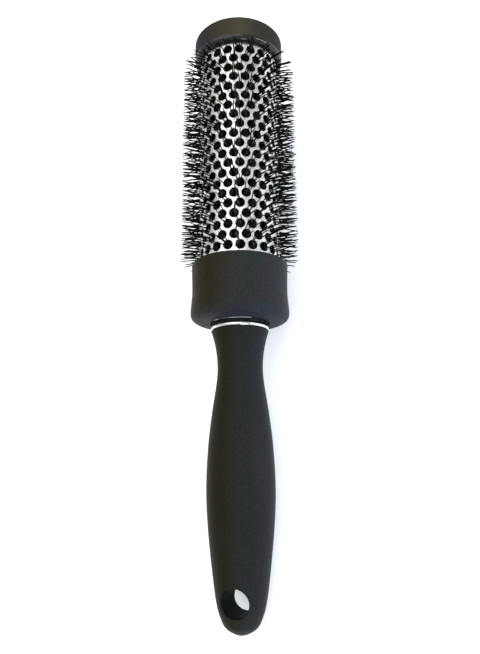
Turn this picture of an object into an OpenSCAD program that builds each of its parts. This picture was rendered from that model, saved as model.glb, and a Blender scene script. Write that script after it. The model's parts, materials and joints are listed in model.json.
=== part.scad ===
// Thermal round brush for blow-drying: a perforated aluminium barrel round a grooved core that holds
// rows of bristles, on a soft-touch handle with a hang hole. It lies on its side, barrel towards +Y.
// Every piece is drawn upright, with the handle's round end at z = 0, and laid down by one module.

/* [Barrel] */
// Outer diameter of the aluminium barrel
barrel_d = 32; // [28:0.5:36]
// Thickness of the barrel's wall
barrel_wall = 0.6; // [0.4:0.1:1]
// Diameter of each air hole
hole_d = 3.7; // [2.5:0.1:3.8]
// Holes round one ring, and also the number of bristle strips
holes_round = 21; // [15:1:21]
// Rings of holes along the barrel
hole_rings = 21; // [5:2:21]
// Distance from one ring of holes to the next
ring_pitch = 4.19; // [4:0.05:4.3]
// Turn of the pattern of holes and bristles about the axis, away from the hang hole
lattice_turn = 2.5; // [0:0.5:8]

/* [Bristles] */
// Distance from the axis at which the filaments of a strip end
bristle_reach = 23.2; // [20:0.1:25]
// Diameter of one nylon filament
filament_d = 0.5; // [0.3:0.05:0.6]
// Filaments that come out of each hole
filaments_per_hole = 3; // [1:1:4]
// Distance of a filament from the middle of its hole, where it passes the wall
filament_spread = 0.75; // [0:0.05:1]
// Width of the channel that clamps the filaments of one strip
spine_w = 1.7; // [1.5:0.1:1.9]
// Depth of that channel
spine_h = 1.4; // [1.2:0.1:1.6]

/* [Handle] */
// Length of the handle, from its round end to the trim ring
handle_len = 107.9; // [90:0.1:130]
// Thickest radius of the handle
handle_belly_r = 12.7; // [11:0.1:14]
// Radius of the handle's waist, next to the collar
handle_waist_r = 8.65; // [8:0.05:10]
// Thickness of the soft-touch skin over the hard core
skin = 2.2; // [1.5:0.1:2.5]
// Radius of the hang hole
hang_hole_r = 5; // [3:0.1:5.5]
// Height of the hang hole's axis above the round end
hang_hole_z = 11.6; // [11:0.1:14]

/* [Collar and cap] */
// Radius of the collar at its flared lower edge
collar_r = 19.2; // [18:0.1:21]
// Length of the collar
collar_len = 23.8; // [20:0.1:26]
// Radius of the end cap
cap_r = 18.6; // [17.5:0.1:20]
// Length of the end cap, without its crown
cap_len = 10.5; // [8:0.1:14]
// Radius of the chrome trim ring
trim_r = 11.2; // [11.2:0.1:12]

/* [Hidden] */
$fn = 96;
EPS = 0.01;

// Gaps and overlaps along the axis, where one piece ends beside or inside the next
trim_to_collar = 1.1;
collar_to_ring = 3.2;
ring_to_cap = 2.4;
barrel_in_cap = 5;
barrel_in_collar = 7.6;
core_in_collar = 0.6;
core_in_cap = 0.4;

// Stations along the axis, from the round end of the handle
trim_h = 1.8;
trim_top = handle_len + trim_h;
collar_z = trim_top + trim_to_collar;
collar_top = collar_z + collar_len;
first_ring_z = collar_top + collar_to_ring;
last_ring_z = first_ring_z + (hole_rings - 1) * ring_pitch;
cap_z = last_ring_z + ring_to_cap;
cap_top = cap_z + cap_len;
barrel_end_z = cap_z + barrel_in_cap;
barrel_foot_z = collar_top - barrel_in_collar;

// Hub: its neck stands in the collar's recess, and widens to the barrel's size at hub_z
neck_r = 11;
hub_z = collar_z + 3.2;

barrel_r = barrel_d / 2;
barrel_in_r = barrel_r - barrel_wall;
seat_gap = 0.05;

// Lattice of holes: every other ring is turned by half a pitch
hole_step = 360 / holes_round;
strip_step = hole_step / 4;

// Core and bristle strips
spine_orbit = 9.6;
core_r = 11;
core_hollow_r = 7.4;
core_web = 4;
core_z = collar_top - core_in_collar;
core_top = cap_z + core_in_cap;
mouth_half = 0.66;
spine_z = core_z + 1;
spine_top = core_top - 0.2;

// Roots of the filaments of one hole along the spine, and how their pattern turns from hole to hole
root_step = 0.9;
turn_per_ring = 37;
turn_per_strip = 53;

// Tie rod, from the handle to the cap
rod_r = 2;
rod_clear_r = 2.2;
insert_r = 3.5;
insert_len = 16;
spigot_r = 8;
spigot_top = trim_top + 8;
insert_z = spigot_top - insert_len;
retainer_h = 1.6;
retainer_r = core_r + 1.2;
washer_h = 0.8;
washer_r = 5;
nut_h = 3.2;
nut_r = 4.05;
washer_z = core_top + retainer_h;
nut_z = washer_z + washer_h;
rod_z = insert_z - 6;
rod_top = nut_z + nut_h + 1;

// Handle outline as [radius, height]: round end, belly, waist and flare, and the two points beyond
// its ends that set the curve's direction there
handle_before = [-5.1, 2.2];
handle_after = [13.9, handle_len + 6];
handle_points = [
    [0, 0], [5.25, 2.15], [7.65, 6.2], [9.2, 12.2], [10.8, 24], [12.1, 36.6], [handle_belly_r, 49.5],
    [12.05, 64.6], [10.7, 76.6], [9.15, 87], [handle_waist_r, 93.4], [9.3, 100.8], [11.15, handle_len]
];
core_from_z = 21;
core_edge = 1;

// End cap: height of its crown, and the fillets of its upper and lower edge
crown = 0.7;
cap_edge = 0.9;
cap_foot = 2.3;
cap_wall = 2.2;
skirt_z = cap_z + 1;

// Collar: side outline as [radius, height] above the rounded foot, and the lip round its recess
collar_edge = 1;
collar_top_r = collar_r - 0.3;
flare_z = collar_z + 3.9;
collar_points = [
    [collar_r - 0.1, flare_z - 2], [collar_r, flare_z + 0.6], [collar_r - 0.35, flare_z + 5.2],
    [collar_r - 0.55, flare_z + 8.4], [collar_top_r, collar_top - collar_edge],
    [collar_top_r + 0.1, collar_top + 3]
];
foot_power = 2 / 2.7;
lip_r = neck_r + 0.7;
recess_r = neck_r + 0.4;
lip_h = 0.5;

// Trim ring: the rounding of its outer edges
trim_edge = 0.85;

// Lying at rest, the brush touches the ground with the bristles next to the collar and with the handle
rest_r = bristle_reach + 0.15;
rest_z = first_ring_z - 1;
rest_tilt = min([for (p = handle_line(8)) atan((rest_r - p[0]) / (rest_z - p[1]))]);
seat_z = max([for (p = handle_line(8)) p[0] * cos(rest_tilt) - p[1] * sin(rest_tilt)]);
back_y = min([for (p = handle_line(8)) p[1] * cos(rest_tilt) - p[0] * sin(rest_tilt)]);
front_y = (cap_top - cap_edge) * cos(rest_tilt) + (cap_r - cap_edge) * sin(rest_tilt) + cap_edge;
seat_y = -(back_y + front_y) / 2;

// Where strip k stands round the axis: between the two rows of holes that it feeds
function strip_angle(k) = k * hole_step + strip_step + lattice_turn - 90;
function strip_name(k) = str("bristle_strip_", k < 9 ? "0" : "", k + 1);

// A smooth curve through a list of points, as short straight steps
function bend(a, b, c, d, t) =
    0.5 * (2 * b + (c - a) * t + (2 * a - 5 * b + 4 * c - d) * t * t + (3 * b - a - 3 * c + d) * t * t * t);
function through(points, steps) = [
    for (i = [1:len(points) - 3], s = [0:steps - 1])
        bend(points[i - 1], points[i], points[i + 1], points[i + 2], s / steps),
    points[len(points) - 2]
];
function handle_line(steps) =
    through(concat([handle_before], handle_points, [handle_after]), steps);
function arc(x, z, r, from, to, steps = 6) =
    [for (i = [0:steps]) let(a = from + (to - from) * i / steps) [x + r * cos(a), z + r * sin(a)]];

// From the upright drawing to the brush lying on its side, hang hole upwards
module laid() {
    translate([0, seat_y, seat_z]) rotate([rest_tilt - 90, 0, 0]) children();
}

module tube(r_out, r_in, z, h) {
    translate([0, 0, z]) difference() {
        cylinder(r = r_out, h = h);
        translate([0, 0, -EPS]) cylinder(r = r_in, h = h + 2 * EPS);
    }
}

// Moulded cap with a skirt inside the barrel and a slightly crowned top
module end_cap() {
    skirt_r = barrel_in_r - seat_gap;
    inside_top = cap_top - cap_wall;
    crown_r = cap_r - cap_edge;
    crown_line = [for (x = [0.75, 0.5, 0.25, 0]) [x * crown_r, cap_top + crown * (1 - x * x)]];
    color("#1f1d1c") laid() rotate_extrude() polygon(concat(
        [[0, inside_top], [skirt_r - cap_wall, inside_top]],
        [[skirt_r - cap_wall, skirt_z], [skirt_r, skirt_z]],
        [[skirt_r, barrel_end_z], [barrel_r + seat_gap, barrel_end_z], [barrel_r + seat_gap, cap_z]],
        arc(cap_r - cap_foot, cap_z + cap_foot, cap_foot, -90, 0, 9),
        arc(crown_r, cap_top - cap_edge, cap_edge, 0, 84), crown_line
    ));
}

// Disc that closes the core's grooves and carries the washer
module front_retainer() {
    color("#2b2b2b") laid() tube(retainer_r, rod_clear_r, core_top, retainer_h);
}

// Thin aluminium tube with staggered rings of air holes
module barrel() {
    color("#d8d8da") laid() difference() {
        tube(barrel_r, barrel_in_r, barrel_foot_z, barrel_end_z - barrel_foot_z);
        for (ring = [0:hole_rings - 1], k = [0:holes_round - 1])
            translate([0, 0, last_ring_z - ring * ring_pitch])
                rotate([0, 90, (k + (ring % 2) / 2) * hole_step + lattice_turn - 90])
                    translate([0, 0, barrel_in_r - 1]) cylinder(d = hole_d, h = barrel_wall + 2, $fn = 32);
    }
}

// Hollow spindle whose undercut grooves hold the spines of the bristle strips
module bristle_core() {
    groove_w = spine_w + 2 * seat_gap;
    groove_h = spine_h + 2 * seat_gap;
    color("#262626") laid() difference() {
        translate([0, 0, core_z]) linear_extrude(core_top - core_z) difference() {
            circle(r = core_r);
            for (k = [0:holes_round - 1])
                rotate(strip_angle(k)) {
                    translate([spine_orbit, 0]) square([groove_h, groove_w], center = true);
                    translate([spine_orbit, -mouth_half]) square([core_r, 2 * mouth_half]);
                }
        }
        translate([0, 0, core_z + core_web])
            cylinder(r = core_hollow_r, h = core_top - core_z - 2 * core_web);
        translate([0, 0, core_z - EPS]) cylinder(r = rod_clear_r, h = core_top - core_z + 2 * EPS);
    }
}

module filament(from, to) {
    way = to - from;
    translate(from) rotate([0, acos(way[2] / norm(way)), atan2(way[1], way[0])])
        cylinder(d = filament_d, h = norm(way), $fn = 16);
}

// One strip: a spine with filaments that fan out to the two rows of holes beside it
module bristle_strip(k) {
    reach = (bristle_reach - spine_orbit) / (barrel_r * cos(strip_step) - spine_orbit);
    color("#101010") laid() rotate(strip_angle(k)) {
        translate([spine_orbit - spine_h / 2, -spine_w / 2, spine_z])
            cube([spine_h, spine_w, spine_top - spine_z]);
        for (ring = [0:hole_rings - 1], f = [0:filaments_per_hole - 1]) {
            side = ring % 2 == 0 ? -1 : 1;
            turn = 360 * f / filaments_per_hole + turn_per_ring * ring + turn_per_strip * k;
            z = last_ring_z - ring * ring_pitch;
            root = [spine_orbit, 0, z + (f - (filaments_per_hole - 1) / 2) * root_step];
            pass = [
                barrel_r * cos(strip_step),
                side * barrel_r * sin(strip_step) + filament_spread * cos(turn),
                z + filament_spread * sin(turn)
            ];
            filament(root, root + (pass - root) * reach);
        }
    }
}

// Hub that joins the barrel and the core to the handle, with the neck that shows below the collar
module barrel_hub() {
    body_r = barrel_r - 2 * seat_gap;
    spigot_in_barrel_r = barrel_in_r - seat_gap;
    color("#171717") laid() rotate_extrude() polygon([
        [spigot_r + seat_gap, trim_top], [neck_r, trim_top], [neck_r, hub_z], [body_r, hub_z],
        [body_r, barrel_foot_z], [spigot_in_barrel_r, barrel_foot_z],
        [spigot_in_barrel_r, core_z], [rod_clear_r, core_z], [rod_clear_r, spigot_top + seat_gap],
        [spigot_r + seat_gap, spigot_top + seat_gap]
    ]);
}

// Soft-touch collar, waisted and then flared to a rounded lower edge
module collar() {
    recess_top = hub_z - seat_gap;
    flare_h = flare_z - collar_z;
    foot_w = collar_r - lip_r;
    round_foot = [
        for (a = [0:7.5:90])
            [lip_r + foot_w * pow(sin(a), foot_power), flare_z - flare_h * pow(cos(a), foot_power)]
    ];
    color("#1d1f1d") laid() rotate_extrude() polygon(concat(
        [[barrel_r + seat_gap, collar_top], [barrel_r + seat_gap, recess_top]],
        [[recess_r, recess_top], [recess_r, collar_z + lip_h]],
        round_foot, through(collar_points, 5),
        arc(collar_top_r - collar_edge, collar_top - collar_edge, collar_edge, 0, 90)
    ));
}

// Polished ring between the handle and the neck
module trim_ring() {
    inner_r = spigot_r + seat_gap;
    color("#e4e4e8") laid() rotate_extrude() polygon(concat(
        [[inner_r, handle_len], [inner_r, trim_top]],
        arc(trim_r - trim_edge, trim_top - trim_edge, trim_edge, 90, 0),
        arc(trim_r - trim_edge, handle_len + trim_edge, trim_edge, 0, -90)
    ));
}

// Hard core of the handle, with a spigot through the trim ring into the hub
module handle_core() {
    inner = [for (p = handle_line(4)) if (p[1] > core_from_z) [p[0] - skin, p[1]]];
    color("#333333") laid() rotate_extrude() polygon(concat(
        [[0, core_from_z], [inner[0][0] - core_edge, core_from_z]], inner,
        [[spigot_r, handle_len], [spigot_r, spigot_top], [insert_r, spigot_top], [insert_r, insert_z]],
        [[rod_r, insert_z], [rod_r, rod_z], [0, rod_z]]
    ));
}

// Soft-touch skin of the handle, solid round the hang hole
module handle_grip() {
    outer = handle_line(5);
    inner = [for (p = handle_line(4)) if (p[1] > core_from_z) [p[0] - skin, p[1]]];
    last = len(inner) - 1;
    color("#20211f") laid() difference() {
        rotate_extrude() polygon(concat(
            outer, [for (i = [last:-1:0]) inner[i]],
            [[inner[0][0] - core_edge, core_from_z], [0, core_from_z]]
        ));
        translate([0, 0, hang_hole_z]) rotate([90, 0, 0])
            cylinder(r = hang_hole_r, h = 4 * handle_belly_r, center = true);
    }
}

// Brass insert in the core's spigot, which takes the rod's thread
module threaded_insert() {
    color("#b89a4a") laid() tube(insert_r, rod_r, insert_z, insert_len);
}

// Steel rod that clamps the hub, the core and the retainer to the handle
module tie_rod() {
    color("#9a9ca0") laid() translate([0, 0, rod_z]) cylinder(r = rod_r, h = rod_top - rod_z);
}

module tie_washer() {
    color("#a8aaae") laid() tube(washer_r, rod_clear_r, washer_z, washer_h);
}

module tie_nut() {
    color("#a8aaae") laid() translate([0, 0, nut_z]) difference() {
        cylinder(r = nut_r, h = nut_h, $fn = 6);
        translate([0, 0, -EPS]) cylinder(r = rod_r, h = nut_h + 2 * EPS);
    }
}

end_cap();
front_retainer();
barrel();
bristle_core();
for (k = [0:holes_round - 1])
    bristle_strip(k);
barrel_hub();
collar();
trim_ring();
handle_core();
handle_grip();
threaded_insert();
tie_rod();
tie_washer();
tie_nut();
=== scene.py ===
"""Thermal round brush, lying at rest on its bristles and its handle."""
import json
import math
import bmesh
import bpy
import numpy as np
from mathutils import Matrix, Vector


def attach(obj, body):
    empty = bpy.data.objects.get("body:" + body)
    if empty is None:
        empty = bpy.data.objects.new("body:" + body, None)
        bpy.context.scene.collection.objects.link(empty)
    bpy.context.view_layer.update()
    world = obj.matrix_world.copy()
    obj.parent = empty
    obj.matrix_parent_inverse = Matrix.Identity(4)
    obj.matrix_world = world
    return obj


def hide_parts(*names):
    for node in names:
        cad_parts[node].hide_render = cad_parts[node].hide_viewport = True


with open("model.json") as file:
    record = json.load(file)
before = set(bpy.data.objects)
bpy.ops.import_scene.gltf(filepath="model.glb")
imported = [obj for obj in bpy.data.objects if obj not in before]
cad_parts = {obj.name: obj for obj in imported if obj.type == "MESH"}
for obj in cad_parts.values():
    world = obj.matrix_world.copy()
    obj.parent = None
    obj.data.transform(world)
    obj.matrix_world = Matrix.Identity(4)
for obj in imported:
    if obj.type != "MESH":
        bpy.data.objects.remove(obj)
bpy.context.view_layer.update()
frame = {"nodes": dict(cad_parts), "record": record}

MM = 0.001
TAU = 2 * math.pi
nodes = frame["nodes"]

# ---------------------------------------------------------------------------------------------
# The brush's own axes: x to the right, y down through the hang hole, z from the handle's round
# end to the cap. All pieces are drawn in them, in millimetres.
# ---------------------------------------------------------------------------------------------
hang_hole = next(m for m in frame["record"]["mounts"] if m["name"] == "hang_hole")
UP = Vector(hang_hole["axis"]).normalized()
RIGHT = Vector((1, 0, 0))
ALONG = UP.cross(RIGHT)
AXES = np.array((RIGHT, -UP, ALONG))
HANG_POS = Vector(hang_hole["pos_m"])


def node_points(name):
    """A CAD node's vertices, in metres."""
    mesh = nodes[name].data
    points = np.zeros(len(mesh.vertices) * 3, np.float32)
    mesh.vertices.foreach_get("co", points)
    return points.reshape(-1, 3)


ROUND_END = float((node_points("handle_grip") @ np.array(ALONG)).min())
AXIS_FOOT = HANG_POS + ALONG * (ROUND_END - HANG_POS.dot(ALONG))
PLACE = Matrix.Translation(AXIS_FOOT) @ Matrix((RIGHT, -UP, ALONG)).transposed().to_4x4()
TO_WORLD = PLACE @ Matrix.Scale(MM, 4)


def span(name):
    """Lowest station, highest station and largest radius of a CAD node, in millimetres."""
    local = (node_points(name) - np.array(AXIS_FOOT)) @ AXES.T / MM
    return local[:, 2].min(), local[:, 2].max(), np.hypot(local[:, 0], local[:, 1]).max()


_, HANDLE_LEN, BELLY_R = span("handle_grip")
TRIM_Z, TRIM_TOP, TRIM_R = span("trim_ring")
COLLAR_Z, COLLAR_TOP, COLLAR_R = span("collar")
CAP_Z, CAP_CROWN, CAP_R = span("end_cap")
BARREL_Z, BARREL_TOP, BARREL_R = span("barrel")

# Sizes that part.scad sets and the frame doesn't state. LIP_R and FOOT_POWER shape the collar's rounded
# foot, CAP_FOOT rounds the cap's lower edge, and the handle's core begins at CORE_FROM_Z inside its skin.
BARREL_WALL = 0.6
HOLE_R = 1.85
HOLES_ROUND = 21
RINGS = 21
RING_PITCH = 4.19
LAST_RING_Z = CAP_Z - 2.4
HOLE_STEP = TAU / HOLES_ROUND
LATTICE_TURN = math.radians(2.5) - math.pi / 2
SPINE_ORBIT = 9.6
SPINE_W, SPINE_H = 1.7, 1.4
BRISTLE_REACH = 23.25
HANDLE_TOP_R = 11.15
CAP_CROWN_H = 0.7
SKIN = 2.2
LIP_R = 11.7
FOOT_POWER = 2 / 2.7
CAP_FOOT = 2.3
CORE_FROM_Z = 21.0
SEAT_GAP = 0.05
HANG_R = hang_hole["dims"]["r_mm"]
HANG_Z = (HANG_POS - AXIS_FOOT).dot(ALONG) / MM


# ---------------------------------------------------------------------------------------------
# Outlines
# ---------------------------------------------------------------------------------------------
def smooth_line(points, steps):
    """A curve through all points but the first and the last, which set its directions at the ends."""
    p = np.array(points, float)
    out = []
    for a, b, c, d in zip(p, p[1:], p[2:], p[3:]):
        for t in np.arange(steps) / steps:
            out.append(0.5 * (2 * b + (c - a) * t + (2 * a - 5 * b + 4 * c - d) * t**2
                              + (3 * b - a - 3 * c + d) * t**3))
    return np.array(out + [p[-2]])


def arc(x, z, radius, start, end, steps=8):
    """Points of an arc round (x, z), with its angles in degrees."""
    angles = np.radians(np.linspace(start, end, steps + 1))
    return np.column_stack((x + radius * np.cos(angles), z + radius * np.sin(angles)))


# Radius and station, from the round end over the belly and the waist to the trim ring
HANDLE_POINTS = [
    (-5.1, 2.2), (0, 0), (5.25, 2.15), (7.65, 6.2), (9.2, 12.2), (10.8, 24), (12.1, 36.6),
    (BELLY_R, 49.5), (12.05, 64.6), (10.7, 76.6), (9.15, 87), (8.65, 93.4), (9.3, 100.8),
    (HANDLE_TOP_R, HANDLE_LEN), (13.9, HANDLE_LEN + 6),
]
HANDLE_LINE = smooth_line(HANDLE_POINTS, 24)


def handle_r(z):
    """Radius of the handle at a station."""
    return np.interp(z, HANDLE_LINE[:, 1], HANDLE_LINE[:, 0])


# ---------------------------------------------------------------------------------------------
# Mesh helpers
# ---------------------------------------------------------------------------------------------
def add_piece(name, points, faces, sharp=40.0, normals=None):
    """A mesh object from local points in millimetres, smooth apart from edges over `sharp` degrees."""
    mesh = bpy.data.meshes.new(name)
    mesh.from_pydata([tuple(p) for p in points], [], faces)
    if normals is None:
        work = bmesh.new()
        work.from_mesh(mesh)
        bmesh.ops.remove_doubles(work, verts=work.verts, dist=1e-4)
        bmesh.ops.recalc_face_normals(work, faces=work.faces)
        work.to_mesh(mesh)
        work.free()
    mesh.shade_smooth()
    if normals is not None:
        mesh.normals_split_custom_set_from_vertices([tuple(n) for n in normals])
    elif sharp < 180:
        mesh.set_sharp_from_angle(angle=math.radians(sharp))
    mesh.transform(TO_WORLD)
    mesh.update()
    piece = bpy.data.objects.new(name, mesh)
    bpy.context.scene.collection.objects.link(piece)
    return piece


def lathe(outline, segments=160, closed=True):
    """Points and faces of an outline of (radius, station) turned round the axis."""
    outline = np.asarray(outline, float)
    angles = np.arange(segments) * TAU / segments
    rows, points = [], []
    for r, z in outline:
        if r < 1e-6:
            rows.append([len(points)] * segments)
            points.append((0, 0, z))
        else:
            rows.append(list(range(len(points), len(points) + segments)))
            points += [(r * math.cos(a), r * math.sin(a), z) for a in angles]
    faces = []
    pairs = list(zip(rows, rows[1:]))
    if closed:
        pairs.append((rows[-1], rows[0]))
    for low, high in pairs:
        for j in range(segments):
            k = (j + 1) % segments
            face = list(dict.fromkeys((low[j], low[k], high[k], high[j])))
            if len(face) > 2:
                faces.append(face)
    return points, faces


# ---------------------------------------------------------------------------------------------
# Handle, with a rounded edge round the hang hole
# ---------------------------------------------------------------------------------------------
def half_height(x, z):
    """Half thickness of the handle at a point of its middle plane."""
    return math.sqrt(max(handle_r(z) ** 2 - x * x, 0.0))


def end_border(cut_z, half_ring, side_steps=34):
    """The handle's outline below cut_z, with the arch of its upper half there, as points (x, z)."""
    cut_r = handle_r(cut_z)
    arch = [(cut_r * math.cos(a), cut_z) for a in np.linspace(0, math.pi, half_ring + 1)]
    end_line = np.vstack((HANDLE_LINE[HANDLE_LINE[:, 1] < cut_z], [(cut_r, cut_z)]))
    lengths = np.r_[0, np.cumsum(np.hypot(*np.diff(end_line, axis=0).T))]
    stations = np.interp(np.linspace(0, lengths[-1], side_steps + 1), lengths, end_line[:, 1])
    left = [(-handle_r(z), z) for z in stations[-2:0:-1]]
    right = [(handle_r(z), z) for z in stations[1:-1]]
    return arch + left + [(0.0, 0.0)] + right


def hole_ray(border_x, border_z, fillet=0.8):
    """Points from the middle of the hang hole's wall over its rounded edge and out to the border."""
    surface_steps, fillet_steps, wall_steps, slope_step = 20, 6, 3, 0.1
    phi = math.atan2(border_z - HANG_Z, border_x)
    c, s = math.cos(phi), math.sin(phi)

    def height(rho):
        return half_height(rho * c, HANG_Z + rho * s)

    rim = HANG_R + fillet
    slope = (height(rim) - height(rim - slope_step)) / slope_step
    corner = np.array((HANG_R, height(rim) - slope * fillet))
    start, end = corner - (0, fillet), np.array((rim, height(rim)))
    ray = [(HANG_R, start[1] * i / wall_steps) for i in range(wall_steps)]
    for t in np.linspace(0, 1, fillet_steps + 1):
        ray.append(tuple((1 - t) ** 2 * start + 2 * t * (1 - t) * corner + t * t * end))
    reach = math.hypot(border_x, border_z - HANG_Z)
    for t in np.sin(np.linspace(0, math.pi / 2, surface_steps + 1)[1:-1]):
        rho = rim + (reach - rim) * t
        ray.append((rho, height(rho)))
    ray = [(rho * c, y, HANG_Z + rho * s) for rho, y in ray]
    return ray + [(border_x, half_height(border_x, border_z), border_z)]


def handle_end(cut_z, half_ring):
    """Surface of the handle below cut_z, as rays that run from the hang hole out to its outline."""
    rays = [hole_ray(x, z) for x, z in end_border(cut_z, half_ring)]
    points, faces = [], []
    for side in (1, -1):
        first, length = len(points), len(rays[0])
        points += [(x, side * y, z) for ray in rays for x, y, z in ray]
        for i in range(len(rays)):
            here, there = first + i * length, first + (i + 1) % len(rays) * length
            faces += [(here + j, there + j, there + j + 1, here + j + 1) for j in range(length - 1)]
    return points, faces


def make_handle():
    """The handle's skin: its end with the hang hole, and the rest turned round the axis, with a cavity."""
    half_ring, cut_z, edge = 80, 22.0, 0.35
    points, faces = handle_end(cut_z, half_ring)
    upper = HANDLE_LINE[HANDLE_LINE[:, 1] > cut_z + 0.2][::3]
    upper = upper[upper[:, 1] < HANDLE_LEN - edge - 0.3]
    lip = arc(HANDLE_TOP_R - edge, HANDLE_LEN - edge, edge, 20, 90, 4)
    cavity = [(r - SKIN, z) for r, z in HANDLE_LINE[::-6] if CORE_FROM_Z < z < HANDLE_LEN]
    cavity += [(cavity[-1][0] - 1, CORE_FROM_Z), (0, CORE_FROM_Z)]
    mouth = (HANDLE_TOP_R - SKIN, HANDLE_LEN)
    outline = np.vstack(([(handle_r(cut_z), cut_z)], upper, lip, [mouth], cavity))
    more_points, more_faces = lathe(outline, 2 * half_ring, closed=False)
    shift = len(points)
    faces += [[i + shift for i in face] for face in more_faces]
    return add_piece("handle_skin", points + more_points, faces, sharp=60)


# ---------------------------------------------------------------------------------------------
# Collar, cap and trim ring
# ---------------------------------------------------------------------------------------------
def make_collar():
    """A shell with a waist, a rounded foot, and a bead round the recess in that foot."""
    edge, bead = 1.0, 0.2
    flare_z, recess_top, recess_low = COLLAR_Z + 3.9, COLLAR_Z + 3.15, COLLAR_Z + 0.5
    seat_r, recess_r, top_r = BARREL_R + SEAT_GAP, LIP_R - 0.3, COLLAR_R - 0.3
    turn = np.radians(np.linspace(0, 90, 33))
    foot = np.column_stack((LIP_R + (COLLAR_R - LIP_R) * np.sin(turn) ** FOOT_POWER,
                            flare_z - (flare_z - COLLAR_Z) * np.cos(turn) ** FOOT_POWER))
    foot = foot[foot[:, 0] > LIP_R + 0.15]
    side = smooth_line([
        (COLLAR_R - 0.1, flare_z - 2), (COLLAR_R, flare_z + 0.6), (COLLAR_R - 0.35, flare_z + 5.2),
        (COLLAR_R - 0.55, flare_z + 8.4), (top_r, COLLAR_TOP - edge), (top_r + 0.1, COLLAR_TOP + 3),
    ], 8)
    outline = np.vstack((
        [(seat_r, COLLAR_TOP), (seat_r, recess_top), (recess_r, recess_top), (recess_r, recess_low)],
        arc(LIP_R - 0.1, COLLAR_Z + 0.1, bead, 180, 335, 10), foot, side[:-1],
        arc(top_r - edge, COLLAR_TOP - edge, edge, 0, 90, 8),
    ))
    return add_piece("collar_shell", *lathe(outline, 192), sharp=50)


def make_cap():
    """A cap with a slightly crowned top, whose skirt goes into the barrel and whose rim goes over it."""
    edge, wall = 0.9, 2.2
    top, skirt_z = CAP_CROWN - CAP_CROWN_H, CAP_Z + 1
    seat_r, skirt_r = BARREL_R + SEAT_GAP, BARREL_R - BARREL_WALL - SEAT_GAP
    crown_r = np.linspace(CAP_R - edge - 0.3, 0, 12)
    crown = np.column_stack((crown_r, CAP_CROWN - CAP_CROWN_H * (crown_r / CAP_R) ** 2 * 0.98))
    outline = np.vstack((
        [(0, top - wall), (skirt_r - wall, top - wall), (skirt_r - wall, skirt_z), (skirt_r, skirt_z),
         (skirt_r, BARREL_TOP), (seat_r, BARREL_TOP), (seat_r, CAP_Z)],
        arc(CAP_R - CAP_FOOT, CAP_Z + CAP_FOOT, CAP_FOOT, -90, 0, 14),
        arc(CAP_R - edge, top - edge, edge, 2, 80, 10),
        crown,
    ))
    return add_piece("cap_shell", *lathe(outline, 192), sharp=50)


def make_trim():
    """A ring with a nearly half-round section."""
    edge, inner = 0.85, 8.05
    outline = np.vstack((
        [(inner, TRIM_Z), (inner, TRIM_TOP)],
        arc(TRIM_R - edge, TRIM_TOP - edge, edge, 90, 0, 10),
        arc(TRIM_R - edge, TRIM_Z + edge, edge, 0, -90, 10),
    ))
    return add_piece("chrome_trim", *lathe(outline, 192), sharp=50)


# ---------------------------------------------------------------------------------------------
# Perforated barrel
# ---------------------------------------------------------------------------------------------
CELL_STEPS = 8
HALF_CELL = CELL_STEPS // 2
LOOP_STEPS = 4 * CELL_STEPS
ROUND_STEPS = HOLES_ROUND * CELL_STEPS


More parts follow.
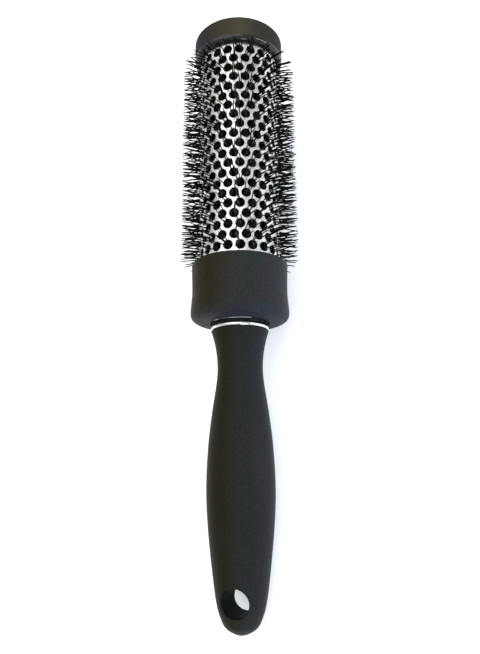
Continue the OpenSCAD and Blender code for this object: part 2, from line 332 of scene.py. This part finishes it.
class BarrelMesh:
    """The barrel's wall: a cell of mesh round each hole, whose outer edge is rolled in."""

    def __init__(self):
        self.points, self.normals, self.faces, self.known = [], [], [], {}

    def vertex(self, key, angle, z, depth, lean):
        """One vertex for each key. lean is its normal's share outwards, round the barrel and along it."""
        if key not in self.known:
            self.known[key] = len(self.points)
            out = Vector((math.cos(angle), math.sin(angle), 0))
            onward = Vector((-out.y, out.x, 0))
            self.points.append((BARREL_R - depth) * out + Vector((0, 0, z)))
            self.normals.append((out * lean[0] + onward * lean[1] + Vector((0, 0, lean[2]))).normalized())
        return self.known[key]

    def wall_vertex(self, row, column, z, inner):
        """A vertex of the plain wall. Columns count in steps of a cell, all the way round."""
        column %= ROUND_STEPS
        angle = column * HOLE_STEP / CELL_STEPS + LATTICE_TURN
        depth, lean = (BARREL_WALL, (-1, 0, 0)) if inner else (0, (1, 0, 0))
        return self.vertex((row, column, inner), angle, z, depth, lean)

    def cell_vertex(self, row, column, inner):
        """A vertex on a cell's border. Rows count in steps of a cell, from the ring next to the cap."""
        z = LAST_RING_Z + (HALF_CELL - row) * RING_PITCH / CELL_STEPS
        return self.wall_vertex(row, column, z, inner)

    def border(self, ring, middle, inner):
        """The border of a cell, anticlockwise from the middle of its right side."""
        top, low = ring * CELL_STEPS, (ring + 1) * CELL_STEPS
        left, right = middle - HALF_CELL, middle + HALF_CELL
        spots = [(top + HALF_CELL - i, right) for i in range(HALF_CELL)]
        spots += [(top, right - i) for i in range(CELL_STEPS)]
        spots += [(top + i, left) for i in range(CELL_STEPS)]
        spots += [(low, left + i) for i in range(CELL_STEPS)]
        spots += [(low - i, right) for i in range(HALF_CELL)]
        return [self.cell_vertex(row, column, inner) for row, column in spots]

    def circle(self, name, angle, z, radius, depth, outward):
        """A loop round a hole. outward is the share of its normals that points out of the barrel."""
        inward = math.sqrt(1 - outward**2)
        loop = []
        for j in range(LOOP_STEPS):
            c, s = math.cos(j * TAU / LOOP_STEPS), math.sin(j * TAU / LOOP_STEPS)
            lean = (outward, -c * inward, -s * inward)
            key = (name, angle, z, j)
            loop.append(self.vertex(key, angle + radius * c / BARREL_R, z + radius * s, depth, lean))
        return loop

    def cell(self, ring, k):
        """The wall round one hole, from its outer face through the hole to its inner face."""
        roll, burr = 0.2, 0.04
        middle = k * CELL_STEPS + HALF_CELL * (ring % 2)
        angle = middle * HOLE_STEP / CELL_STEPS + LATTICE_TURN
        z = LAST_RING_Z - ring * RING_PITCH
        loops = [self.border(ring, middle, False)]
        for step, bend in enumerate(np.linspace(0, math.pi / 2, 3)):
            radius, depth = HOLE_R + roll * (1 - math.sin(bend)), roll * (1 - math.cos(bend))
            loops.append(self.circle(step, angle, z, radius, depth, math.cos(bend)))
        loops.append(self.circle("foot", angle, z, HOLE_R, BARREL_WALL - burr, 0.0))
        loops.append(self.circle("back", angle, z, HOLE_R + burr, BARREL_WALL, -1.0))
        loops.append(self.border(ring, middle, True))
        for a, b in zip(loops, loops[1:]):
            self.join(a, b)

    def join(self, one, other):
        """Faces between two closed rows of vertices."""
        for a, b, c, d in zip(one, one[1:] + one[:1], other[1:] + other[:1], other):
            self.faces.append((a, b, c, d))

    def ends(self):
        """The plain bands between the outermost cells and the barrel's ends, and the end faces."""
        rims = []
        for inner in (False, True):
            top = [self.wall_vertex("top", c, BARREL_TOP, inner) for c in range(ROUND_STEPS)]
            foot = [self.wall_vertex("foot", c, BARREL_Z, inner) for c in range(ROUND_STEPS)]
            first = [self.cell_vertex(0, c, inner) for c in range(ROUND_STEPS)]
            last = [self.cell_vertex(RINGS * CELL_STEPS, c, inner) for c in range(ROUND_STEPS)]
            for lower, upper in ((first, top), (foot, last)):
                self.join(*((upper, lower) if inner else (lower, upper)))
            rims.append((top, foot))
        (outer_top, outer_foot), (inner_top, inner_foot) = rims
        self.join(outer_top, inner_top)
        self.join(inner_foot, outer_foot)


def make_barrel():
    """The aluminium tube with its rings of holes, every other ring turned by half a pitch."""
    wall = BarrelMesh()
    for ring in range(RINGS):
        for k in range(HOLES_ROUND):
            wall.cell(ring, k)
    wall.ends()
    return add_piece("barrel_tube", wall.points, wall.faces, normals=wall.normals)


# ---------------------------------------------------------------------------------------------
# Bristles: slightly wavy filaments of uneven length, from each strip's spine out through the holes
# ---------------------------------------------------------------------------------------------
FILAMENT_R = 0.225
FILAMENT_SIDES = 6
FILAMENT_COUNTS = (2, 3, 3, 4, 4, 4)
GROUND_GAP = 0.0001


def filament_path(rng, column, z, side, fan):
    """Points of one filament, in its strip's axes: out, along the ring, along the brush. fan is its
    place in the fan of its hole's filaments, from -1 to 1."""
    steps, fan_at_root, fan_at_hole, short_share = 12, 0.4, 1.05, 0.08
    root_z = z + fan_at_root * fan
    root = np.array((SPINE_ORBIT + 0.4, rng.uniform(-0.3, 0.3), root_z + rng.uniform(-0.15, 0.15)))
    hole = np.array((BARREL_R * math.cos(column), side * BARREL_R * math.sin(column), z))
    hole += (0, rng.uniform(-0.75, 0.75), fan_at_hole * fan + rng.uniform(-0.25, 0.25))
    reach = BRISTLE_REACH + rng.normal(0, 0.1)
    if rng.uniform() < short_share:
        reach -= rng.uniform(0.3, 1.4)
    way = (hole - root) / (hole[0] - root[0])
    bend = rng.normal(0, 0.22, 2)
    wave, phase, length = rng.uniform(0.05, 0.17), rng.uniform(0, TAU), rng.uniform(4.5, 8.0)
    wave_way = rng.uniform(0, TAU)
    line = root + np.outer(np.linspace(0, 1, steps + 1) * (reach - root[0]), way)
    straight_to = BARREL_R - 2
    grown = np.clip((line[:, 0] - straight_to) / (reach - straight_to), 0, 1)
    sway = wave * grown * np.sin(TAU * line[:, 0] / length + phase)
    line[:, 1] += bend[0] * grown**2 + sway * math.cos(wave_way)
    line[:, 2] += bend[1] * grown**2 + sway * math.sin(wave_way)
    over = np.hypot(line[-1, 0], line[-1, 1]) / reach
    line[:, 0] = root[0] + (line[:, 0] - root[0]) / over
    return line


def tube(line, radius, sides):
    """Points and faces of a closed tube along a line, thinner towards a rounded end."""
    steps = len(line)
    ways = np.gradient(line, axis=0)
    ways /= np.linalg.norm(ways, axis=1)[:, None]
    across = np.cross(ways, (0, 0, 1.0))
    across /= np.linalg.norm(across, axis=1)[:, None]
    other = np.cross(ways, across)
    thick = np.full(steps, radius)
    thick[-2:] *= (0.92, 0.6)
    turn = np.arange(sides) * TAU / sides
    ring = np.cos(turn)[None, :, None] * across[:, None] + np.sin(turn)[None, :, None] * other[:, None]
    points = (line[:, None] + ring * thick[:, None, None]).reshape(-1, 3)
    points = np.vstack((points, line[-1] + ways[-1] * radius * 0.7))
    faces = []
    for i in range(steps - 1):
        for j in range(sides):
            k = (j + 1) % sides
            faces.append((i * sides + j, i * sides + k, (i + 1) * sides + k, (i + 1) * sides + j))
    tip, last = len(points) - 1, (steps - 1) * sides
    faces += [(last + j, last + (j + 1) % sides, tip) for j in range(sides)]
    faces.append(tuple(range(sides))[::-1])
    return points, faces


def spine_box(bottom, top):
    """The strip's spine, with its long edges cut off."""
    cut, h, w = 0.2, SPINE_H / 2, SPINE_W / 2
    outline = [(-h, -w + cut), (-h + cut, -w), (h - cut, -w), (h, -w + cut),
               (h, w - cut), (h - cut, w), (-h + cut, w), (-h, w - cut)]
    count = len(outline)
    points = [(SPINE_ORBIT + x, y, z) for z in (bottom, top) for x, y in outline]
    faces = [(j, (j + 1) % count, count + (j + 1) % count, count + j) for j in range(count)]
    return np.array(points), faces + [tuple(range(count))[::-1], tuple(range(count, 2 * count))]


def above_ground(points):
    """The same points, with those that would go into the ground raised to lie along it."""
    world = points * MM @ AXES + np.array(AXIS_FOOT)
    lift = np.maximum(GROUND_GAP - world[:, 2], 0)[:, None] * np.array((0, 0, 1.0))
    return points + lift @ AXES.T / MM


def make_strip(index):
    """A spine and its filaments, which leave the barrel through the two rows of holes beside it."""
    rng = np.random.RandomState(4100 + index)
    column = HOLE_STEP / 4
    turn = (index + 0.25) * HOLE_STEP + LATTICE_TURN
    first_ring_fan = 0.15
    pieces = [spine_box(COLLAR_TOP + 0.4, CAP_Z + 0.2)]
    for ring in range(RINGS):
        side = -1 if ring % 2 == 0 else 1
        z = LAST_RING_Z - ring * RING_PITCH
        count = rng.choice(FILAMENT_COUNTS)
        for fan in np.linspace(-1, first_ring_fan if ring == 0 else 1, count):
            line = filament_path(rng, column, z, side, fan)
            pieces.append(tube(line, FILAMENT_R * rng.uniform(0.9, 1.08), FILAMENT_SIDES))
    points, faces, shift = [], [], 0
    for some_points, some_faces in pieces:
        points.append(some_points)
        faces += [[i + shift for i in face] for face in some_faces]
        shift += len(some_points)
    c, s = math.cos(turn), math.sin(turn)
    points = np.vstack(points) @ np.array(((c, s, 0), (-s, c, 0), (0, 0, 1)))
    return add_piece(f"bristles_{index + 1:02d}", above_ground(points), faces, sharp=50)


# ---------------------------------------------------------------------------------------------
# Materials
# ---------------------------------------------------------------------------------------------
# Colour stops of the dark pieces, with painted light in them. The coat passes through the first SIDE_SHARE
# of its stops from its left
# # to its right, following the way its surface faces: olive brown where it faces left, blue grey where it
# faces right, a painted tint of
# # the bluish light from the right. It passes through the last one, a painted slate-blue sheen, only
# towards the collar's foot.
SIDE_SHARE = 0.8
COAT_AND_LIGHT_TINTS = (
    (0.08, (0.0106, 0.0083, 0.0007)),  # olive brown
    (0.35, (0.0138, 0.0130, 0.0076)),  # olive grey
    (0.50, (0.0148, 0.0158, 0.0160)),  # grey
    (0.63, (0.0130, 0.0164, 0.0138)),  # green grey
    (0.71, (0.0164, 0.0140, 0.0184)),  # purple grey
    (0.78, (0.0132, 0.0146, 0.0186)),  # blue grey
    (0.96, (0.0136, 0.0176, 0.0250)),  # slate blue
)
# Colour stops of the cap, with painted shading in them: the light olive a little right of the middle
# stands in for the lit side, and the darker stops towards the ends for shade at the sides.
CAP_AND_LIGHT_TINTS = (
    (0.04, (0.032, 0.030, 0.023)),  # brown grey
    (0.14, (0.026, 0.0245, 0.031)),  # blue grey
    (0.24, (0.029, 0.026, 0.030)),  # purple grey
    (0.34, (0.043, 0.034, 0.026)),  # reddish brown
    (0.46, (0.047, 0.043, 0.029)),  # olive
    (0.68, (0.056, 0.053, 0.033)),  # light olive
    (0.85, (0.034, 0.034, 0.027)),  # green grey
    (0.97, (0.024, 0.025, 0.021)),  # dark grey
)


class Shader:
    """A Principled material with a few helpers for its node tree."""

    def __init__(self, name, **sockets):
        self.material = bpy.data.materials.new(name)
        self.material.use_nodes = True
        self.tree = self.material.node_tree
        self.main = self.tree.nodes["Principled BSDF"]
        for socket, value in sockets.items():
            self.main.inputs[socket.replace("_", " ")].default_value = value

    def node(self, kind, **values):
        """A new node. Each value goes to the input of that name, or else to the node's setting."""
        made = self.tree.nodes.new(kind)
        for key, value in values.items():
            if key in made.inputs:
                made.inputs[key].default_value = value
            else:
                setattr(made, key, value)
        return made

    def link(self, source, target):
        self.tree.links.new(source, target)

    def place(self):
        """Positions in metres, in the row frame."""
        return self.node("ShaderNodeNewGeometry").outputs["Position"]

    def facing(self):
        """The way that the surface faces, in the row frame."""
        return self.node("ShaderNodeNewGeometry").outputs["Normal"]

    def station(self):
        """Distances along the brush from the handle's round end, in metres."""
        offset = self.node("ShaderNodeVectorMath", operation="SUBTRACT")
        self.link(self.place(), offset.inputs[0])
        offset.inputs[1].default_value = AXIS_FOOT
        along = self.node("ShaderNodeVectorMath", operation="DOT_PRODUCT")
        self.link(offset.outputs["Vector"], along.inputs[0])
        along.inputs[1].default_value = ALONG
        return along.outputs["Value"]

    def math(self, operation, one, other):
        made = self.node("ShaderNodeMath", operation=operation)
        self.link(one, made.inputs[0])
        self.link(other, made.inputs[1])
        return made.outputs[0]

    def noise(self, scale, detail=3):
        made = self.node("ShaderNodeTexNoise", Scale=scale, Detail=detail, Roughness=0.55)
        self.link(self.place(), made.inputs["Vector"])
        return made.outputs["Fac"]

    def ramp(self, source, low, high, from_low=0, from_high=1):
        """From low to high as the source goes from from_low to from_high."""
        made = self.node("ShaderNodeMapRange")
        self.link(source, made.inputs["Value"])
        made.inputs["From Min"].default_value = from_low
        made.inputs["From Max"].default_value = from_high
        made.inputs["To Min"].default_value = low
        made.inputs["To Max"].default_value = high
        return made.outputs["Result"]

    def across(self, source, reach, share=1.0):
        """From 0 to the share as a vector's x goes from -reach to reach, with a slight wander."""
        split = self.node("ShaderNodeSeparateXYZ")
        self.link(source, split.inputs[0])
        even = self.ramp(split.outputs["X"], 0, share, -reach, reach)
        return self.math("ADD", even, self.ramp(self.noise(70), -0.08, 0.08))

    def mix(self, factor, one, other):
        """A colour between two, of which each is a socket or a plain colour."""
        made = self.node("ShaderNodeMix", data_type="RGBA")
        self.link(factor, made.inputs["Factor"])
        for socket, value in ((made.inputs[6], one), (made.inputs[7], other)):
            if hasattr(value, "links"):
                self.link(value, socket)
            else:
                socket.default_value = (*value, 1)
        return made.outputs[2]

    def through(self, stops, source, lift=1.0):
        """The colour of the stops at the source's value."""
        made = self.node("ShaderNodeValToRGB")
        elements = made.color_ramp.elements
        elements[1].position = stops[-1][0]
        for position, _ in stops[1:-1]:
            elements.new(position)
        elements[0].position = stops[0][0]
        for element, (_, colour) in zip(elements, stops):
            element.color = (*(lift * c for c in colour), 1)
        self.link(source, made.inputs[0])
        return made.outputs["Color"]

    def grainy(self, source, grain):
        """The same colour with fine lighter and darker grains."""
        made = self.node("ShaderNodeMixRGB", blend_type="MULTIPLY", Fac=1.0)
        self.link(source, made.inputs[1])
        self.link(self.ramp(self.noise(1300, 2), 1 - grain, 1 + grain), made.inputs[2])
        return made.outputs[0]

    def colour(self, source):
        self.link(source, self.main.inputs["Base Color"])

    def mottle(self, scale, dark, light, spread, detail=3):
        """A base colour that wanders between two, more abruptly with a smaller spread."""
        factor = self.ramp(self.noise(scale, detail), 0, 1, 0.5 - spread, 0.5 + spread)
        self.colour(self.mix(factor, dark, light))

    def roughness(self, scale, low, high, detail=2):
        self.link(self.ramp(self.noise(scale, detail), low, high), self.main.inputs["Roughness"])

    def bump(self, scale, strength, height):
        """Fine bumps, with their height in metres."""
        made = self.node("ShaderNodeBump", Strength=strength, Distance=height)
        self.link(self.noise(scale, 2), made.inputs["Height"])
        self.link(made.outputs["Normal"], self.main.inputs["Normal"])


def rare_specks(shader):
    """1 in a few small round specks, and 0 elsewhere."""
    spots = shader.node("ShaderNodeTexVoronoi", Scale=520.0, Randomness=1.0)
    shader.link(shader.place(), spots.inputs["Vector"])
    near = shader.ramp(spots.outputs["Distance"], 1, 0, 0.035, 0.055)
    return shader.math("MULTIPLY", near, shader.ramp(shader.noise(190, 1), 0, 1, 0.65, 0.69))


def soft_touch(name, lift, foot=None):
    """Matt rubbery coat with painted light: its colour goes from olive where the surface faces left to
    blue-grey where it faces right, a painted tint of the bluish light from the right, and to a painted
    slate-blue sheen from the second to the first station of a foot."""
    shader = Shader(name, Specular_IOR_Level=0.07)
    # Painted light: the tint follows the way the surface faces, bluer where it faces right.
    painted_light_factor = shader.across(shader.facing(), 1, SIDE_SHARE)
    # Painted sheen: a slate-blue tint towards the collar's downward-facing foot.
    if foot:
        painted_light_factor = shader.math("ADD", painted_light_factor, shader.ramp(shader.station(), 0.4, 0, foot[0] * MM, foot[1] * MM))
    coat = shader.grainy(shader.through(COAT_AND_LIGHT_TINTS, painted_light_factor, lift), 0.55)
    shader.colour(shader.mix(rare_specks(shader), coat, (0.30, 0.31, 0.30)))
    shader.roughness(900, 0.46, 0.58, detail=3)
    shader.bump(5200, 0.25, 0.00004)
    return shader.material


def cap_plastic(name):
    """Smooth moulded plastic with painted shading: lighter olive across the middle and darker, greyer
    towards the sides, where less light falls on the rounded cap.
    """
    shader = Shader(name, Specular_IOR_Level=0.02)
    # Painted shading: the colour follows the position across the cap.
    painted_light_factor = shader.across(shader.place(), CAP_R * MM)
    shader.colour(shader.grainy(shader.through(CAP_AND_LIGHT_TINTS, painted_light_factor), 0.25))
    shader.roughness(1500, 0.5, 0.6)
    shader.bump(4000, 0.2, 0.00003)
    return shader.material


def satin_aluminium(name):
    shader = Shader(name, Metallic=1.0)
    shader.mottle(1400, (0.72, 0.712, 0.695), (0.94, 0.926, 0.903), 0.2)
    shader.roughness(2600, 0.30, 0.46, detail=3)
    shader.bump(3400, 0.2, 0.00003)
    return shader.material


def nylon(name):
    shader = Shader(name, Specular_IOR_Level=0.1)
    shader.mottle(420, (0.0007, 0.0007, 0.0007), (0.0014, 0.0014, 0.0014), 0.1, detail=2)
    shader.roughness(2500, 0.3, 0.42)
    return shader.material


def moulded(name, dark, light, low=0.45, high=0.6, shine=0.1):
    """Plain moulded plastic between two colours, with its roughness from low to high."""
    shader = Shader(name, Specular_IOR_Level=shine)
    shader.mottle(300, dark, light, 0.15)
    shader.roughness(1500, low, high)
    shader.bump(4000, 0.2, 0.00003)
    return shader.material


def metal(name, dark, light, low, high):
    """Turned or plated metal between two colours, with its roughness from low to high."""
    shader = Shader(name, Metallic=1.0)
    shader.mottle(500, dark, light, 0.2)
    shader.roughness(1800, low, high, detail=3)
    return shader.material


def painted_lip_highlight(name):
    """Dark bead with a painted highlight: light blue-grey patches that stand in for a reflection along its
    edge.
    """
    shader = Shader(name, Specular_IOR_Level=0.5)
    highlight_patches = shader.ramp(shader.noise(160, 2), 0, 1, 0.36, 0.56)
    shader.colour(shader.mix(highlight_patches, (0.012, 0.013, 0.015), (0.66, 0.70, 0.76)))
    shader.roughness(900, 0.2, 0.35)
    return shader.material


# ---------------------------------------------------------------------------------------------
# Camera, floor and light
# ---------------------------------------------------------------------------------------------
def make_camera():
    """The camera looks along the brush from above the handle, a little to the right of the hang hole."""
    turn, lean, roll = math.radians(18.4), math.radians(13.06), math.radians(-0.34)
    station, distance = LAST_RING_Z - 164.5, 226.6
    focal_length, picture_height = 600, 654
    out = UP * math.cos(turn) + RIGHT * math.sin(turn)
    forward = -out * math.cos(lean) + ALONG * math.sin(lean)
    level_up = ALONG * math.cos(lean) + out * math.sin(lean)
    level_right = forward.cross(level_up)
    right = level_right * math.cos(roll) + level_up * math.sin(roll)
    up = level_up * math.cos(roll) - level_right * math.sin(roll)
    place = AXIS_FOOT + (ALONG * station + out * distance) * MM
    lens = bpy.data.cameras.new("camera")
    lens.sensor_width = 36.0
    lens.lens = lens.sensor_width * focal_length / picture_height
    lens.clip_start = 0.01
    camera = bpy.data.objects.new("camera", lens)
    camera.matrix_world = Matrix.Translation(place) @ Matrix((right, up, -forward)).transposed().to_4x4()
    bpy.context.scene.collection.objects.link(camera)
    bpy.context.scene.camera = camera


def make_floor():
    """A pale floor with a slight glow of its own, so that it stays pale next to the brush."""
    size = 4.0
    corners = [(-size, -size, 0), (size, -size, 0), (size, size, 0), (-size, size, 0)]
    mesh = bpy.data.meshes.new("floor")
    mesh.from_pydata(corners, [], [(0, 1, 2, 3)])
    floor = bpy.data.objects.new("floor", mesh)
    bpy.context.scene.collection.objects.link(floor)
    paint = Shader("floor_paint", Roughness=0.9, Specular_IOR_Level=0.1, Emission_Strength=0.43)
    paint.main.inputs["Base Color"].default_value = (0.94, 0.94, 0.94, 1)
    paint.main.inputs["Emission Color"].default_value = (0.88, 0.94, 1, 1)
    mesh.materials.append(paint.material)


def area_light(name, place, aim, size, power, colour):
    """A rectangular lamp, with its place, aim and size in metres and its power in watts."""
    data = bpy.data.lights.new(name, "AREA")
    data.shape = "RECTANGLE"
    data.size, data.size_y = size
    data.energy = power
    data.color = colour
    lamp = bpy.data.objects.new(name, data)
    way = Vector(aim) - Vector(place)
    lamp.matrix_world = Matrix.Translation(place) @ way.to_track_quat("-Z", "Y").to_matrix().to_4x4()
    bpy.context.scene.collection.objects.link(lamp)


def make_light():
    """An even white surround, a large lamp overhead, and two weak bluish ones from the right."""
    world = bpy.data.worlds.new("studio")
    world.use_nodes = True
    sky = world.node_tree.nodes["Background"]
    sky.inputs["Color"].default_value = (1, 1, 1, 1)
    sky.inputs["Strength"].default_value = 0.72
    bpy.context.scene.world = world
    brush = (0, 0, 0.03)
    area_light("overhead", (-0.12, 0.2, 1.2), (0, 0, 0), (1.4, 1.4), 7.5, (1, 0.995, 0.985))
    area_light("window", (0.75, 0, 0.23), brush, (0.09, 0.4), 1.9, (0.80, 0.90, 1))
    area_light("low_fill", (0.3, -0.7, 0.3), brush, (0.3, 0.3), 1.2, (0.7, 0.85, 1))


# ---------------------------------------------------------------------------------------------
# The scene
# ---------------------------------------------------------------------------------------------
def stand_for(piece, node, material):
    """The piece takes the CAD node's place, with a material of its own."""
    piece.data.materials.append(material)
    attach(piece, "root")
    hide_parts(node)


def second_material(piece, material, test):
    """Another material for the faces whose middle, in local millimetres, passes the test."""
    piece.data.materials.append(material)
    to_local = TO_WORLD.inverted()
    for face in piece.data.polygons:
        if test(*(to_local @ face.center)):
            face.material_index = 1


def in_bore(x, y, z):
    """Whether a point is on the wall of the hang hole."""
    return math.hypot(x, z - HANG_Z) < HANG_R + 0.02


def on_lip_highlight(x, y, z):
    """Whether a point is on the upper part of the bead round the collar's recess, which gets the painted
    highlight.
    """
    r = math.hypot(x, y)
    on_bead = LIP_R - 0.35 < r < LIP_R + 0.12 and z < COLLAR_Z + 0.1
    return on_bead and y < -0.78 * r


def on_cap_foot(x, y, z):
    """Whether a point is on the cap's rounded lower edge."""
    return z < CAP_Z + CAP_FOOT and math.hypot(x, y) > BARREL_R + 0.1


def repaint(node, material):
    """A CAD node that keeps its shape gets a better material."""
    nodes[node].data.materials.clear()
    nodes[node].data.materials.append(material)


make_camera()
make_floor()
make_light()

handle = make_handle()
# The handle's coat carries the painted side tint of soft_touch.
stand_for(handle, "handle_grip", soft_touch("soft_touch_handle", 1.08))
# Painted shade: the hang hole's wall gets a near-black colour with little shine.
bore_shade = moulded("painted_bore_shade", (0.0012, 0.0012, 0.0012), (0.002, 0.002, 0.002), shine=0.02)
second_material(handle, bore_shade, in_bore)

collar = make_collar()
# The collar's foot gets a painted slate-blue sheen between these stations.
collar_coat = soft_touch("soft_touch_collar", 1.5, (COLLAR_Z + 0.5, COLLAR_Z + 5))
stand_for(collar, "collar", collar_coat)
# The upper side of the collar's bead gets a painted highlight.
second_material(collar, painted_lip_highlight("painted_lip_highlight"), on_lip_highlight)

cap = make_cap()
stand_for(cap, "end_cap", cap_plastic("cap_plastic"))
polished = moulded("cap_edge", (0.007, 0.009, 0.008), (0.012, 0.014, 0.013), 0.09, 0.15, 0.42)
second_material(cap, polished, on_cap_foot)

chrome = metal("chrome_plate", (0.78, 0.78, 0.79), (0.86, 0.86, 0.87), 0.04, 0.09)
stand_for(make_trim(), "trim_ring", chrome)
stand_for(make_barrel(), "barrel", satin_aluminium("satin_aluminium"))
filament = nylon("black_nylon")
for index in range(HOLES_ROUND):
    stand_for(make_strip(index), f"bristle_strip_{index + 1:02d}", filament)

core = moulded("moulded_core", (0.016, 0.014, 0.011), (0.052, 0.036, 0.030))
for name in ("bristle_core", "front_retainer", "handle_core"):
    repaint(name, core)
repaint("barrel_hub", moulded("moulded_neck", (0.007, 0.007, 0.007), (0.012, 0.012, 0.012), 0.3, 0.45))
steel = metal("zinc_steel", (0.5, 0.51, 0.53), (0.66, 0.67, 0.69), 0.22, 0.38)
for name in ("tie_rod", "tie_washer", "tie_nut"):
    repaint(name, steel)
repaint("threaded_insert", metal("turned_brass", (0.62, 0.46, 0.2), (0.78, 0.62, 0.32), 0.2, 0.35))

bpy.context.scene.view_settings.view_transform = "Standard"
